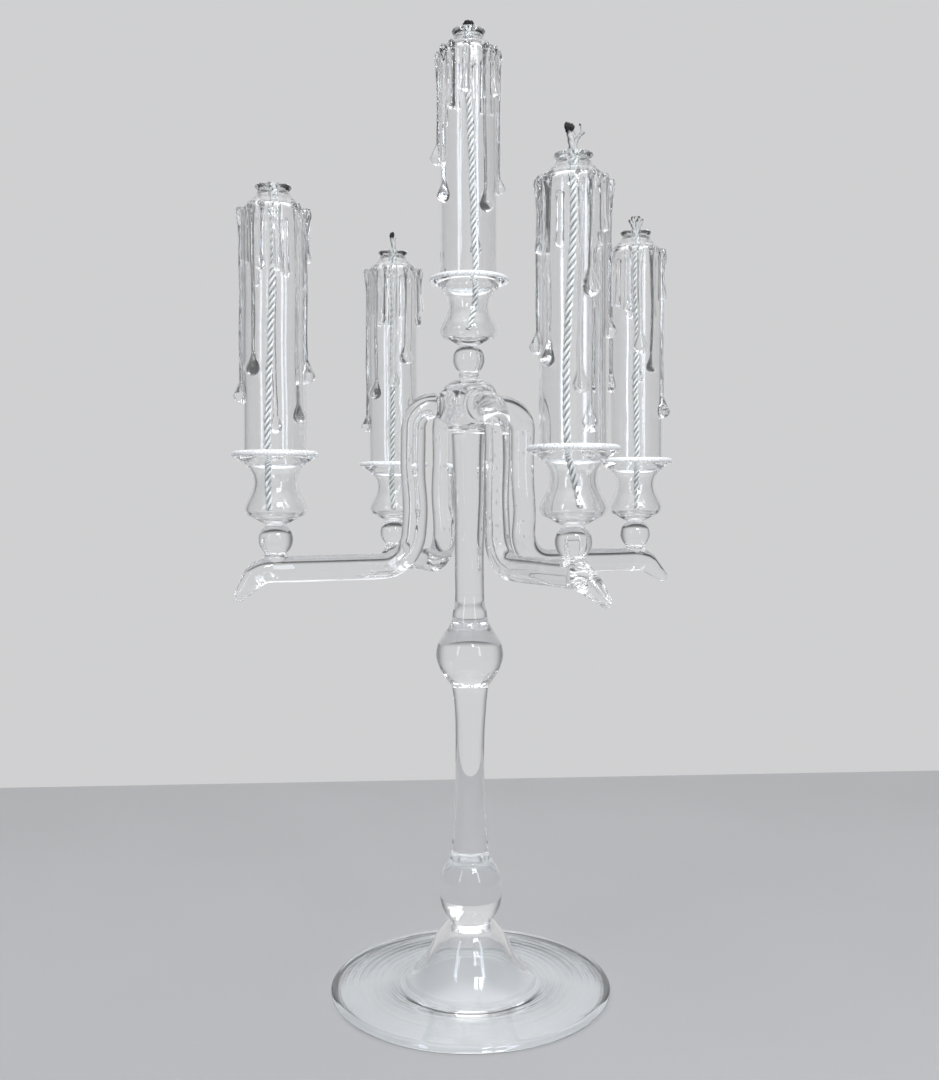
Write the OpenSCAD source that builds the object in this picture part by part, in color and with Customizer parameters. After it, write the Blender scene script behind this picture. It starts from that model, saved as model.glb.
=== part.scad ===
// Five-light glass candelabra with oil candles.
// Solid and blown clear glass: a foot, a stem with two knops, four S-shaped arms in a cross,
// and five hollow glass candles, each with a lift-out glass wick holder and a glass-fibre wick.
// Origin: centre of the foot on the table. +Z is up. The arms lie along X and Y.

/* [Foot] */
// Diameter of the foot over its rolled rim
foot_d = 185; // [160:1:210]
// Thickness of the rolled rim
foot_rim_t = 5; // [4.5:0.5:7]
// Height of the foot, up to the lower knop
foot_h = 46.5; // [42:0.5:52]

/* [Stem] */
// Diameter of the lower knop
lower_knop_d = 41.5; // [36:0.5:48]
// Height of the lower knop, neck to neck
lower_knop_h = 41.5; // [36:0.5:46]
// Diameter of the stem where it is slimmest
stem_d = 19.2; // [16:0.2:22]
// Height of the lower stem
lower_stem_h = 115; // [90:1:140]
// Diameter of the middle knop
middle_knop_d = 44.4; // [38:0.2:50]
// Height of the middle knop
middle_knop_h = 41; // [36:0.5:48]
// Height of the upper stem
upper_stem_h = 126; // [100:1:150]
// Diameter of the crown that carries the arms
crown_d = 37; // [34:0.5:42]
// Height of the crown
crown_h = 37.5; // [36:0.5:44]

/* [Arms] */
// Distance from the stem's axis to an outer candle's axis
arm_reach = 131; // [120:1:150]
// Diameter of the arm's solid rod
arm_d = 16.5; // [14:0.5:18]
// Distance from the stem's axis to the arm's hanging leg
leg_reach = 40; // [36:1:50]
// Height of the arm's outer run above the table
run_z = 283; // [265:1:300]
// Radius of the bend beside the crown
upper_bend_r = 15; // [13:1:18]
// Radius of the bend at the foot of the leg
lower_bend_r = 21; // [16:1:26]

/* [Ball and cup] */
// Diameter of the ball below each cup
ball_d = 20.8; // [18:0.2:24]
// Height of the ball piece, neck to neck
ball_h = 19; // [17:0.5:20]
// Diameter of the cup's drip pan
pan_d = 52; // [46:1:60]
// Diameter of the cup's lower bulge
bulge_d = 37.8; // [34:0.2:42]
// Diameter of the cup's waist
waist_d = 26.6; // [24:0.2:30]
// Height of the cup
cup_h = 44; // [40:1:50]

/* [Candle] */
// Outside diameter of the candle's tube
tube_d = 38; // [34:0.5:42]
// Wall of the candle's tube and of the cup
glass_wall = 1.7; // [1.5:0.1:2.4]
// Height of the candle from the pan to its neck
candle_h = 155.5; // [120:0.5:190]
// Outside diameter of the neck
neck_d = 21.6; // [20:0.2:24]
// Inside diameter of the neck
neck_bore_d = 16; // [15:0.2:17]

/* [Drips] */
// Diameter of a drip's rod
drip_d = 4.4; // [3.5:0.1:5.5]
// Diameter of the bead at the end of a long drip
bead_d = 7.6; // [6:0.2:9]
// Length of a short drip, from the neck down
short_drip = 46; // [35:1:60]

/* [Wick and holder] */
// Diameter of the wick
wick_d = 4.6; // [4:0.1:5]
// Diameter of the holder's disc
holder_d = 22; // [20:0.5:26]
// Thickness of the holder's disc
holder_t = 3.4; // [2.5:0.1:4.5]
// Outside diameter of the holder's tube
holder_tube_d = 6.8; // [6.4:0.1:8]
// Length of the holder's tube below the disc
holder_tube_l = 12; // [8:0.5:18]

/* [Hidden] */
$fn = 64;

// The lights, in this order: right (+X), back (+Y), left (-X), front (-Y) and the centre.
PLACES = ["right", "back", "left", "front", "center"];
ARMS = [0, 1, 2, 3];
CENTER = 4;

function named(piece) = [for (p = PLACES) str(piece, "_", p)];

// Heights of the joints between the fused pieces of the stem
lower_knop_z = foot_h;
lower_stem_z = lower_knop_z + lower_knop_h;
middle_knop_z = lower_stem_z + lower_stem_h;
upper_stem_z = middle_knop_z + middle_knop_h;
crown_z = upper_stem_z + upper_stem_h;
crown_top_z = crown_z + crown_h;

// Radii where two fused pieces of the stem meet
foot_neck_r = 14.2;
lower_knop_neck_r = 13.3;
middle_knop_neck_r = 12.7;
crown_neck_r = 12.2;
ball_neck_r = 6.4;

// Arm: height of its root, where it starts beside the crown and where its tail starts
root_z = crown_z + 16;
root_reach = 22;
root_flare_r = 10.4;
tail_reach = arm_reach + 2;
tail_bend_r = 16;
tail_tip_r = 4.3;
// The tail's bend starts a few degrees inside the run, and each section is a touch slimmer than the last
tail_overlap = 4;
tail_step = 0.06;
// Each arm's tail: roll about the run, droop, length after the bend
TAILS = [[0, 38, 15], [0, 44, 13], [0, 50, 12], [26, 48, 13]];

// Ball, cup and candle, stacked from the ball's centre upwards
ball_z = run_z + arm_d / 2 + ball_h / 2 + 0.3;
stack_h = ball_h / 2 + cup_h + candle_h;
function light_z(i) = i == CENTER ? crown_top_z + ball_h / 2 : ball_z;
function light_xy(i) = i == CENTER ? [0, 0] : arm_reach * [cos(90 * i), sin(90 * i)];
function seat_z(i) = light_z(i) + stack_h;
tube_r = tube_d / 2;
bore_r = tube_r - glass_wall;
cup_floor = 4.5;
pan_t = 3;

// Bends of a drip over the shoulder: distance from the candle's axis, and height from the neck.
// The rods are sunk a little way into the glass that they are fused to.
DRIP_BEND = [[15, -5.4], [18.4, -8.4], [tube_r + 1.2, -14]];
// Least angle between a long drip and a short one
bead_clearance = 15;
// Long drips of each candle: direction around the candle, and length from the neck down
LONG_DRIPS = [
    [[175, 105], [245, 79], [272, 93], [306, 123], [50, 96]],
    [[158, 128], [204, 104], [250, 96], [278, 78], [20, 110]],
    [[164, 122], [213, 107], [300, 135], [329, 110], [74, 139]],
    [[149, 101], [193, 109], [250, 124], [268, 72], [329, 93], [26, 141]],
    [[189, 105], [279, 112], [334, 98], [154, 78], [50, 133]]
];

// Height of each wick's tip above the holder
WICK_TIPS = [11, 13, 1.5, 18, 4.5];
// Each wick's route below the neck, hand chosen: X and Y from the candle's axis, and Z from the neck
WICK_ROUTES = [
    [[0, 0, 0], [0, 0, -14], [0, 0, -26], [0, 0, -38], [1, 0, -52], [1, -1, -66], [0, -1, -80], [0, -1, -94],
     [0, 0, -108], [1, 0, -122], [1, 0, -136], [1, -1, -150], [0, -2, -164], [0, -2, -178], [1, -1, -192]],
    [[0, 0, 0], [0, 0, -14], [0, 0, -26], [0, 0, -38], [0, 1, -52], [0, 1, -66], [0, 2, -80], [0, 2, -94],
     [0, 2, -108], [0, 2, -122], [0, 3, -136], [0, 3, -150], [-1, 2, -164], [-1, 1, -178], [0, 0, -192]],
    [[0, 0, 0], [0, 0, -14], [0, 0, -26], [0, 0, -38], [-1, 0, -52], [-1, 1, -66], [-2, 1, -80], [-2, 1, -94],
     [-3, 2, -108], [-3, 2, -122], [-4, 2, -136], [-4, 2, -150], [-4, 1, -164], [-4, 1, -178], [-3, 2, -192]],
    [[0, 0, 0], [0, 0, -14], [0, 0, -26], [0, 0, -38], [-1, 0, -52], [-2, 0, -66], [-3, 0, -80], [-3, 1, -94],
     [-4, 1, -108], [-4, 1, -122], [-4, 1, -136], [-4, 0, -150], [-2, 0, -164], [1, -1, -178], [4, -1, -190]],
    [[0, 0, 0], [0, 0, -14], [0, 0, -26], [0, 0, -38], [1, 0, -52], [1, -1, -66], [2, -1, -80], [2, -1, -94],
     [3, -1, -108], [3, -1, -122], [4, -1, -136], [4, -2, -150], [4, -2, -164], [3, -1, -178], [-1, 0, -190]]
];
wick_bore_r = wick_d / 2 + 0.1;
WICK_SIDES = 10;

// A smooth curve through points p, in n steps from each point to the next
function between(a, b, c, d, t) =
    (2 * b + (c - a) * t + (2 * a - 5 * b + 4 * c - d) * t * t + (3 * b - a - 3 * c + d) * t * t * t) / 2;
function smooth(p, n = 3) = [
    for (i = [0 : len(p) - 2])
        for (k = [0 : n - 1])
            between(p[max(i - 1, 0)], p[i], p[i + 1], p[min(i + 2, len(p) - 1)], k / n),
    p[len(p) - 1]
];
function reversed(p) = [for (i = [len(p) - 1 : -1 : 0]) p[i]];
function at_light(i) = [light_xy(i)[0], light_xy(i)[1], 0];

module clear_glass() {
    color([0.86, 0.92, 0.94, 0.45]) children();
}

module lathe(outline) {
    rotate_extrude() polygon(outline);
}

module foot() {
    rim_r = foot_rim_t / 2;
    rim_at = foot_d / 2 - rim_r;
    flat = 1.2;
    disc_edge_z = 4.6;
    underside_edge = [rim_at - rim_r + 0.2, 1.8];
    cone_top = smooth([[44, 6.6], [39, 11], [32.5, 18.6], [26.5, 28.6], [21, 38.7], [17, 43.5], [foot_neck_r, foot_h]]);
    cone_inside = smooth([[46, 3.4], [38, 6.6], [30.5, 14.5], [24, 25], [18, 34], [11, 39.5], [0, 41]]);
    clear_glass() lathe(concat(
        [[0, foot_h]], reversed(cone_top), [[rim_at - 1, disc_edge_z]],
        [for (t = [100 : -20 : -60]) [rim_at + rim_r * cos(t), rim_r + rim_r * sin(t)]],
        [[rim_at + flat, 0], [rim_at - flat, 0], underside_edge],
        cone_inside
    ));
}

module lower_knop() {
    r = lower_knop_d / 2;
    h = lower_knop_h;
    side = smooth([
        [foot_neck_r, 0], [foot_neck_r + 0.6, 1], [r * 0.93, h * 0.22], [r, h * 0.48],
        [r * 0.94, h * 0.74], [r * 0.78, h * 0.91], [lower_knop_neck_r + 0.3, h - 0.8], [lower_knop_neck_r, h]
    ]);
    clear_glass() translate([0, 0, lower_knop_z]) lathe(concat([[0, 0]], side, [[0, h]]));
}

module lower_stem() {
    r = stem_d / 2;
    h = lower_stem_h;
    side = smooth([
        [lower_knop_neck_r, 0], [12.4, 5], [r + 1.4, 20], [r + 0.5, 36], [r, 52], [r, 76],
        [r + 0.4, 92], [r + 1.4, 105], [middle_knop_neck_r - 0.7, h - 2], [middle_knop_neck_r, h]
    ]);
    clear_glass() translate([0, 0, lower_stem_z]) lathe(concat([[0, 0]], side, [[0, h]]));
}

module middle_knop() {
    r = middle_knop_d / 2;
    h = middle_knop_h;
    side = smooth([
        [middle_knop_neck_r, 0], [middle_knop_neck_r + 0.8, 1.2], [r * 0.83, h * 0.2], [r * 0.97, h * 0.38],
        [r, h * 0.52], [r * 0.93, h * 0.68], [r * 0.77, h * 0.82], [r * 0.64, h * 0.93], [middle_knop_neck_r, h]
    ]);
    clear_glass() translate([0, 0, middle_knop_z]) lathe(concat([[0, 0]], side, [[0, h]]));
}

module upper_stem() {
    r = stem_d / 2;
    h = upper_stem_h;
    side = smooth([
        [middle_knop_neck_r, 0], [middle_knop_neck_r - 0.7, 2], [11.3, 8], [r + 0.4, 15], [r, 24], [r + 0.1, 48],
        [r + 0.5, 80], [r + 1.2, 102], [r + 2, 120], [crown_neck_r, h]
    ]);
    clear_glass() translate([0, 0, crown_z - h]) lathe(concat([[0, 0]], side, [[0, h]]));
}

module crown() {
    r = crown_d / 2;
    h = crown_h;
    stub_start = 8;
    stub_start_r = root_flare_r + 1.6;
    side = smooth([
        [crown_neck_r, 0], [13.4, 2.5], [r * 0.86, 9], [r * 0.97, 16], [r, 22],
        [r * 0.9, h - 9], [r * 0.66, h - 5.5], [ball_neck_r + 1, h - 3], [ball_neck_r, h]
    ]);
    clear_glass() translate([0, 0, crown_z]) union() {
        lathe(concat([[0, 0]], side, [[0, h]]));
        for (i = ARMS)
            translate([0, 0, root_z - crown_z])
                rotate([0, 90, 90 * i])
                    translate([0, 0, stub_start])
                        cylinder(h = root_reach - stub_start, r1 = stub_start_r, r2 = arm_d / 2);
    }
}

// One arm along +X: root, bend, leg, bend, run and drooping tail
module arm_rod(tail) {
    r = arm_d / 2;
    leg_top = root_z - upper_bend_r;
    leg_foot = run_z + lower_bend_r;
    run_start = leg_reach + lower_bend_r;
    translate([root_reach, 0, root_z]) rotate([0, 90, 0])
        cylinder(h = leg_reach - upper_bend_r - root_reach, r = r);
    translate([leg_reach - upper_bend_r, 0, leg_top]) rotate([90, 0, 0])
        rotate_extrude(angle = 90) translate([upper_bend_r, 0]) circle(r = r);
    translate([leg_reach, 0, leg_foot]) cylinder(h = leg_top - leg_foot, r = r);
    translate([run_start, 0, leg_foot]) rotate([90, 0, 0])
        rotate([0, 0, 180]) rotate_extrude(angle = 90) translate([lower_bend_r, 0]) circle(r = r);
    translate([run_start, 0, run_z]) rotate([0, 90, 0]) cylinder(h = tail_reach - run_start, r = r);
    translate([tail_reach, 0, run_z]) rotate([tail[0], 0, 0]) {
        droop = tail[1];
        bend_section = r - tail_step;
        tip_section = r - 2 * tail_step;
        translate([0, 0, -tail_bend_r]) rotate([90, 0, 0])
            rotate([0, 0, 90 - droop]) rotate_extrude(angle = droop + tail_overlap)
                translate([tail_bend_r, 0]) circle(r = bend_section);
        translate([tail_bend_r * sin(droop), 0, -tail_bend_r * (1 - cos(droop))])
            rotate([0, 90 + droop, 0]) lathe(concat(
                [[0, -1], [tip_section, -1], [tip_section, 0.5], [r * 0.94, tail[2] * 0.35],
                 [r * 0.76, tail[2] * 0.75], [tail_tip_r, tail[2]]],
                [for (t = [20 : 20 : 80]) [tail_tip_r * cos(t), tail[2] + tail_tip_r * sin(t)]],
                [[0, tail[2] + tail_tip_r]]
            ));
    }
}

module arm(i) {
    clear_glass() rotate([0, 0, 90 * i]) arm_rod(TAILS[i]);
}

// The ball below a cup. An outer one is fused to its arm in a saddle.
module ball(i) {
    r = ball_d / 2;
    h = ball_h / 2;
    side = concat(
        [[ball_neck_r, -h], [ball_neck_r, -h + 0.8]],
        [for (t = [-48 : 8 : 48]) [r * cos(t), r * sin(t)]],
        [[ball_neck_r, h - 0.8], [ball_neck_r, h]]
    );
    clear_glass() translate(at_light(i) + [0, 0, light_z(i)])
        if (i == CENTER)
            lathe(concat([[0, -h]], side, [[0, h]]));
        else
            difference() {
                union() {
                    lathe(concat([[0, -h]], side, [[0, h]]));
                    translate([0, 0, -h - 4]) cylinder(h = 5, r = ball_neck_r);
                }
                translate([0, 0, run_z - light_z(i)]) rotate([0, 0, 90 * i]) rotate([0, 90, 0])
                    cylinder(h = ball_d * 2, r = arm_d / 2, center = true);
            }
}

module cup(i) {
    h = cup_h;
    rb = bulge_d / 2;
    rw = waist_d / 2;
    rp = pan_d / 2;
    outside = smooth([
        [ball_neck_r, 0], [9, 1.1], [13, 3.4], [rb * 0.92, 5.4], [rb, 8.6], [rb * 0.96, 12], [rb * 0.86, 16],
        [rw + 1, 20], [rw, 24], [rw + 0.2, 28], [rw + 1.8, 32], [rw + 5, 36], [rp * 0.87, h - pan_t - 2],
        [rp - 0.8, h - pan_t - 0.4]
    ]);
    rim = [for (t = [-60 : 30 : 60]) [rp - 1.5 + 1.5 * cos(t), h - 1.5 + 1.5 * sin(t)]];
    inside = smooth([
        [bore_r, h - 1], [bore_r - 0.5, h - 4], [rw + 2, 36.5], [rw - 0.3, 32.3], [rw - glass_wall, 28],
        [rw - glass_wall - 0.2, 24], [rw - 0.9, 19.6], [rb * 0.86 - 1.9, 15.4], [rb * 0.96 - 2, 11.6], [rb - 2.1, 8.4],
        [rb * 0.92 - 2.4, 6], [10, cup_floor + 0.2], [0, cup_floor]
    ]);
    clear_glass() translate(at_light(i) + [0, 0, light_z(i) + ball_h / 2])
        lathe(concat([[0, 0]], outside, rim, [[rp - 1.5, h], [bore_r, h]], inside));
}

// Outline of the candle's outside, from the pan up to the neck
function candle_side(h) = concat([[tube_r, 0]], smooth([
    [tube_r, h - 14.5], [tube_r * 0.995, h - 12.6], [tube_r * 0.965, h - 10.4], [tube_r * 0.89, h - 7.8],
    [tube_r * 0.765, h - 5.6], [neck_d / 2 + 1.2, h - 3.8], [neck_d / 2 + 0.2, h - 1.8], [neck_d / 2, h]
]));

module candle(i) {
    h = candle_h;
    neck_r = neck_bore_d / 2;
    inside = smooth([
        [neck_r, h], [neck_r, h - 3.6], [neck_r + 1.8, h - 5.8], [neck_r + 4.8, h - 8.2],
        [bore_r * 0.885, h - 10.6], [bore_r * 0.97, h - 12.8], [bore_r, h - 15.5]
    ]);
    clear_glass() translate(at_light(i) + [0, 0, seat_z(i) - h])
        lathe(concat(candle_side(h), inside, [[bore_r, 0]]));
}

// A round bar with ball ends, from point a to point b in the XZ plane
module round_bar(a, b, r) {
    d = b - a;
    translate([a[0], 0, a[1]])
        rotate([0, atan2(d[0], d[1]), 0])
            lathe(concat(
                [for (t = [-90 : 18 : 0]) [r * cos(t), r * sin(t)]],
                [for (t = [0 : 18 : 90]) [r * cos(t), norm(d) + r * sin(t)]]
            ));
}

// One drip along +X: it bends over the shoulder and runs down the wall
module drip(length, r, beaded) {
    round_bar(DRIP_BEND[0], DRIP_BEND[1], drip_d / 2 + 0.2);
    round_bar(DRIP_BEND[1], DRIP_BEND[2], drip_d / 2 + 0.1);
    round_bar([DRIP_BEND[2][0], -length], DRIP_BEND[2], r);
    if (beaded)
        translate([DRIP_BEND[2][0] + 0.3, 0, -length]) lathe(concat(
            [for (t = [-90 : 18 : 36]) [bead_d / 2 * cos(t), bead_d / 2 * sin(t)]],
            [[bead_d * 0.29, bead_d * 0.66], [bead_d * 0.15, bead_d], [0, bead_d * 1.25]]
        ));
}

// Short drips fill the places around the neck that no long drip takes
function gap_to(a, b) = min(abs(a - b), 360 - abs(a - b));
function is_free(a, i) = min([for (d = LONG_DRIPS[i]) gap_to(a, d[0])]) > bead_clearance;
function short_length(a) = short_drip + 7 * sin(7 * a);

module drips(i) {
    clear_glass() translate(at_light(i) + [0, 0, seat_z(i)]) {
        for (d = LONG_DRIPS[i])
            rotate([0, 0, d[0]]) drip(d[1], drip_d * 0.4, true);
        for (a = [10 + 5 * i : 30 : 359 + 5 * i])
            if (is_free(a % 360, i))
                rotate([0, 0, a]) drip(short_length(a), drip_d / 2, false);
    }
}

// Glass disc, dished below, and tube that hold the wick. It rests on the candle's neck and lifts out.
module holder(i) {
    r = holder_d / 2;
    t = holder_t;
    tube = holder_tube_d / 2;
    clear_glass() translate(at_light(i) + [0, 0, seat_z(i)]) lathe([
        [wick_bore_r, -holder_tube_l], [tube - 0.4, -holder_tube_l], [tube, -holder_tube_l + 0.5], [tube, 0],
        [r * 0.8, 0], [r * 0.93, t * 0.3], [r * 0.98, t * 0.6], [r, t * 0.8], [r * 0.97, t], [wick_bore_r, t]
    ]);
}

// A round cord of diameter d through the route's points, level rings with flat ends
module cord(route, d) {
    n = WICK_SIDES;
    last = len(route) - 1;
    points = [
        for (p = route)
            for (k = [0 : n - 1])
                p + d / 2 * [cos(360 * k / n), sin(360 * k / n), 0]
    ];
    walls = [
        for (i = [0 : last - 1])
            for (k = [0 : n - 1])
                [i * n + k, i * n + (k + 1) % n, (i + 1) * n + (k + 1) % n, (i + 1) * n + k]
    ];
    ends = [[for (k = [n - 1 : -1 : 0]) k], [for (k = [0 : n - 1]) last * n + k]];
    polyhedron(points, concat(walls, ends), convexity = 4);
}

module wick(i) {
    tip = [[0, 0, holder_t + WICK_TIPS[i]]];
    color([0.82, 0.8, 0.76]) translate(at_light(i) + [0, 0, seat_z(i)])
        cord(concat(tip, WICK_ROUTES[i]), wick_d);
}

foot();
lower_knop();
lower_stem();
middle_knop();
upper_stem();
crown();
for (i = ARMS) arm(i);
for (i = [0 : CENTER]) ball(i);
for (i = [0 : CENTER]) cup(i);
for (i = [0 : CENTER]) candle(i);
for (i = [0 : CENTER]) drips(i);
for (i = [0 : CENTER]) holder(i);
for (i = [0 : CENTER]) wick(i);
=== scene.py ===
"""Five-light glass candelabra: visual model, materials, soft light and camera.

Profiles are (radius, height) in millimetres, in each piece's own frame, as in part.scad.
Places come from the CAD frame's boxes.
"""
import math

import bpy
import numpy as np
from mathutils import Matrix, Vector


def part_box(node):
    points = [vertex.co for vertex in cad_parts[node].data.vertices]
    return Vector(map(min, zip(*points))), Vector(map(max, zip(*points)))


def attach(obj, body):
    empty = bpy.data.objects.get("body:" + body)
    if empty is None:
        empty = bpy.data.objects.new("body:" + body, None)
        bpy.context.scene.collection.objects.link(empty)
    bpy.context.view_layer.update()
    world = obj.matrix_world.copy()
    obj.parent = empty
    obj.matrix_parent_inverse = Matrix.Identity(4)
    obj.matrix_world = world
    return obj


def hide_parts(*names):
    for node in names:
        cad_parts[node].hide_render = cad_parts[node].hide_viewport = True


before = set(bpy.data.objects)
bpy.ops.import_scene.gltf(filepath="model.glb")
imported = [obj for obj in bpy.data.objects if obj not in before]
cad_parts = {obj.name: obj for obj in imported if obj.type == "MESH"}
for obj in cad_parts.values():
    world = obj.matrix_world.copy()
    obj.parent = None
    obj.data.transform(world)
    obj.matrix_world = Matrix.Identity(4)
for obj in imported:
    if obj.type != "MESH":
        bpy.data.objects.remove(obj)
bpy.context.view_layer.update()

MM = 0.001
# How close to a plane a cut face's middle counts as on it, in metres
NEAR = 2e-5

ARM_PLACES = ("right", "back", "left", "front")
PLACES = ARM_PLACES + ("center",)

# ---------------- camera

CAMERA_AZIMUTH = math.radians(243.95)
CAMERA_DISTANCE = 0.7334
CAMERA_HEIGHT = 0.3216
CAMERA_PITCH = math.radians(-1.79)
CAMERA_ROLL = math.radians(-0.15)
CAMERA_LENS = 37.1


def make_camera():
    """The camera at the photograph's viewing angle."""
    data = bpy.data.cameras.new("camera")
    data.sensor_width = 36
    data.lens = CAMERA_LENS
    data.clip_start = 0.02
    camera = bpy.data.objects.new("camera", data)
    bpy.context.scene.collection.objects.link(camera)
    camera.location = (
        CAMERA_DISTANCE * math.cos(CAMERA_AZIMUTH),
        CAMERA_DISTANCE * math.sin(CAMERA_AZIMUTH),
        CAMERA_HEIGHT,
    )
    level = math.cos(CAMERA_PITCH)
    forward = Vector((
        -math.cos(CAMERA_AZIMUTH) * level,
        -math.sin(CAMERA_AZIMUTH) * level,
        math.sin(CAMERA_PITCH),
    ))
    aim = forward.to_track_quat("-Z", "Y").to_matrix()
    camera.rotation_euler = (aim @ Matrix.Rotation(CAMERA_ROLL, 3, "Z")).to_euler()
    bpy.context.scene.camera = camera


make_camera()

# ---------------- curves and meshes


def smooth(points, steps=8):
    """The curve of part.scad through points, in steps from each point to the next."""
    p = np.array(points, float)
    p = np.vstack([p[:1], p, p[-1:]])
    out = []
    for i in range(1, len(p) - 2):
        a, b, c, d = p[i - 1:i + 3]
        for t in np.arange(steps) / steps:
            out.append((2 * b + (c - a) * t + (2 * a - 5 * b + 4 * c - d) * t ** 2
                        + (3 * b - a - 3 * c + d) * t ** 3) / 2)
    out.append(p[-1])
    return np.array(out)


def arc(centre, radius, start, end, steps=8):
    """Points of an arc in a profile, its angles in degrees."""
    t = np.radians(np.linspace(start, end, steps + 1))
    return np.column_stack([centre[0] + radius * np.cos(t), centre[1] + radius * np.sin(t)])


def circle(sides):
    """The directions of the sides of a round piece, in radians."""
    return np.arange(sides) * 2 * math.pi / sides


def joined(*parts):
    """Profile pieces end to end, without doubled points."""
    p = np.vstack([np.array(part, float).reshape(-1, 2) for part in parts])
    keep = np.ones(len(p), bool)
    keep[1:] = np.linalg.norm(np.diff(p, axis=0), axis=1) > 1e-6
    return p[keep]


def wobbled(points):
    """Hand-made glass is never quite round or straight: a slight drift, the same for all fused pieces."""
    p = np.array(points, float)
    x, y, z = p.T
    fade = np.clip(z / 0.05, 0, 1)
    p[:, 0] += 0.00022 * fade * (np.sin(41 * z + 0.4) + 0.6 * np.sin(97 * z + 2.1 + 30 * y))
    p[:, 1] += 0.00022 * fade * (np.sin(37 * z + 1.9) + 0.6 * np.sin(89 * z + 0.3 + 30 * x))
    return p


def new_piece(name, points, faces, materials, slots=None, sharp=40, wobble=True):
    """A smooth-shaded mesh piece from points in metres."""
    mesh = bpy.data.meshes.new(name)
    points = wobbled(points) if wobble else np.asarray(points)
    mesh.from_pydata(points.tolist(), [], [list(map(int, f)) for f in faces])
    for m in materials:
        mesh.materials.append(m)
    if slots is not None:
        mesh.polygons.foreach_set("material_index", np.asarray(slots, np.int32))
    mesh.validate()
    mesh.shade_smooth()
    mesh.set_sharp_from_angle(angle=math.radians(sharp))
    obj = bpy.data.objects.new(name, mesh)
    bpy.context.scene.collection.objects.link(obj)
    return obj


def lathe(outline, sides=112, fused=(), closed=False):
    """Points (mm), faces and slots of a turned solid. fused lists the outline's segments that are joints.
    A closed outline is a ring; an open one starts and ends on the axis."""
    outline = np.array(outline, float)
    t = circle(sides)
    ring = np.column_stack([np.cos(t), np.sin(t)])
    points, first, on_axis = [], [], []
    count = 0
    for r, z in outline:
        first.append(count)
        on_axis.append(r < 1e-6)
        if r < 1e-6:
            points.append([[0.0, 0.0, z]])
            count += 1
        else:
            points.append(np.column_stack([ring * r, np.full(sides, z)]))
            count += sides
    points = np.vstack(points)
    faces, slots = [], []
    total = len(outline)
    for i in range(total if closed else total - 1):
        j = (i + 1) % total
        slot = 1 if i in fused else 0
        for k in range(sides):
            n = (k + 1) % sides
            a, b = first[i] + k, first[i] + n
            c, d = first[j] + n, first[j] + k
            if on_axis[i]:
                face = [first[i], c, d]
            elif on_axis[j]:
                face = [a, b, first[j]]
            else:
                face = [a, b, c, d]
            faces.append(face)
            slots.append(slot)
    return points, faces, slots


def frames_along(line):
    """Two directions across a line that don't twist along it."""
    line = np.asarray(line, float)
    tangent = np.gradient(line, axis=0)
    tangent /= np.linalg.norm(tangent, axis=1)[:, None]
    side = np.zeros_like(line)
    start = np.array([0.0, 1.0, 0.0])
    if abs(tangent[0] @ start) > 0.9:
        start = np.array([1.0, 0.0, 0.0])
    side[0] = start - tangent[0] * (start @ tangent[0])
    side[0] /= np.linalg.norm(side[0])
    for i in range(1, len(line)):
        s = side[i - 1] - tangent[i] * (side[i - 1] @ tangent[i])
        side[i] = s / np.linalg.norm(s)
    return side, np.cross(tangent, side)


def evenly(line, step):
    """Points a step apart along a line, and how far along each is."""
    line = np.asarray(line, float)
    along = np.concatenate([[0], np.cumsum(np.linalg.norm(np.diff(line, axis=0), axis=1))])
    at = np.linspace(0, along[-1], max(2, int(round(along[-1] / step)) + 1))
    return np.column_stack([np.interp(at, along, line[:, k]) for k in range(3)]), at


def swept(line, radii, sides):
    """A tube through a line. radii is (points, sides). Returns points, faces; the end caps come last."""
    u, v = frames_along(line)
    t = circle(sides)
    rings = (line[:, None, :] + radii[:, :, None] * (np.cos(t)[None, :, None] * u[:, None, :]
             + np.sin(t)[None, :, None] * v[:, None, :]))
    points = np.vstack([rings.reshape(-1, 3), line[:1], line[-1:]])
    faces = []
    for i in range(len(line) - 1):
        for k in range(sides):
            n = (k + 1) % sides
            faces.append([i * sides + k, i * sides + n, (i + 1) * sides + n, (i + 1) * sides + k])
    low, high = len(points) - 2, len(points) - 1
    last = (len(line) - 1) * sides
    faces += [[low, (k + 1) % sides, k] for k in range(sides)]
    faces += [[high, last + k, last + (k + 1) % sides] for k in range(sides)]
    return points, faces


def with_caps(values):
    """Values of a swept tube's side points, and then of the two points in its end caps."""
    return np.concatenate([values, values[:1], values[-1:]])


# ---------------- material helpers


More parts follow.
